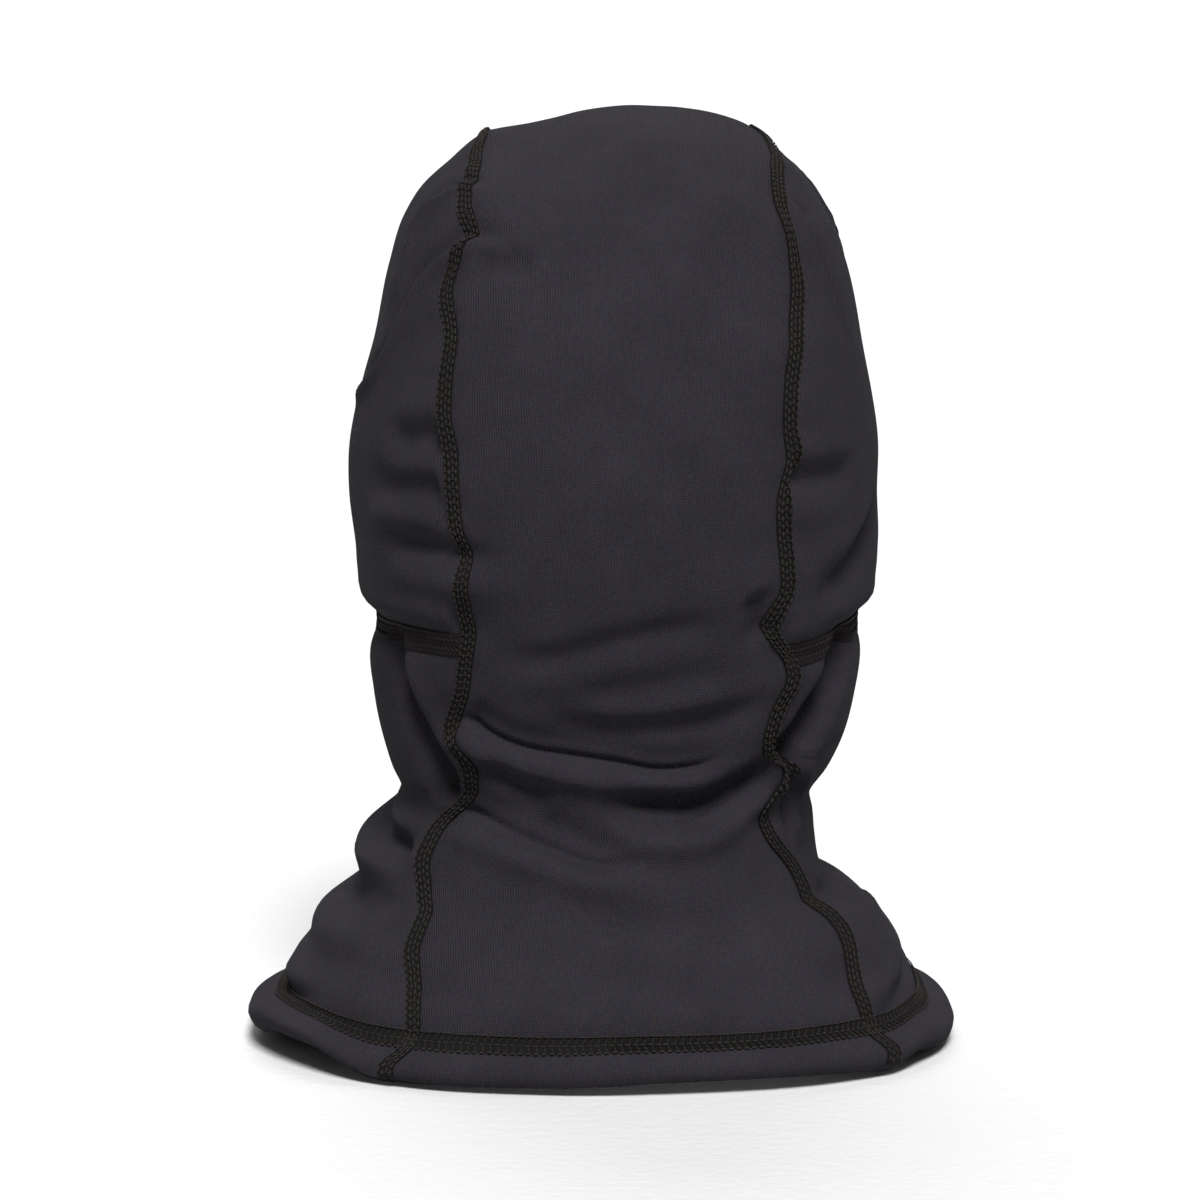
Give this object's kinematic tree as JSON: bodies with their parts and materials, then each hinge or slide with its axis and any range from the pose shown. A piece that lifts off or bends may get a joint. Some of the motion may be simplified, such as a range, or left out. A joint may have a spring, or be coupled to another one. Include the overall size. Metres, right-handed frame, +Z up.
{
  "type": "balaclava",
  "caption": "Hinged ski balaclava in stretch fleece: a full hood and neck with an eye opening, and a face mask that pulls down from the nose.",
  "frame": {"origin": "middle of the head that wears it: the crown is 121 mm above and the hem 195 mm below", "axes": "+Z up, -Y the way the wearer faces, +X the wearer's left"},
  "size_m": [0.246, 0.2279, 0.315],
  "materials": {
    "fleece": "charcoal stretch fleece with a smooth brushed knit face and very fine upright ribs",
    "thread": "near-black flatlock and cover stitching",
    "elastic": "black knitted elastic tape and binding",
    "label": "blank off-white woven label"
  },
  "bodies": {
    "hood": {"crown_back_panel": "fleece", "hood_side_left": "fleece", "hood_side_right": "fleece", "neck_wrap_left": "fleece", "neck_wrap_right": "fleece", "chin_panel": "fleece", "hem_facing": "fleece", "back_seam_left": "thread", "back_seam_right": "thread", "hinge_tack_left": "thread", "hinge_tack_right": "thread", "jaw_seam": "thread", "neck_front_seam": "thread", "hem_stitch": "thread", "hinge_tape_left": "elastic", "hinge_tape_right": "elastic", "face_binding": "elastic", "care_label": "label"},
    "mask": {"mask_left": "fleece", "mask_right": "fleece", "mask_front_seam": "thread", "mask_seam": "thread", "mask_binding": "elastic"}
  },
  "joints": [
    {"name": "mask_hinge", "type": "hinge", "parent": "hood", "child": "mask", "pos_m": [0, -0.0571, -0.04], "axis": [1, 0, 0], "range_deg": [0, 50], "deforming": ["chin_panel", "mask_seam"]}
  ]
}
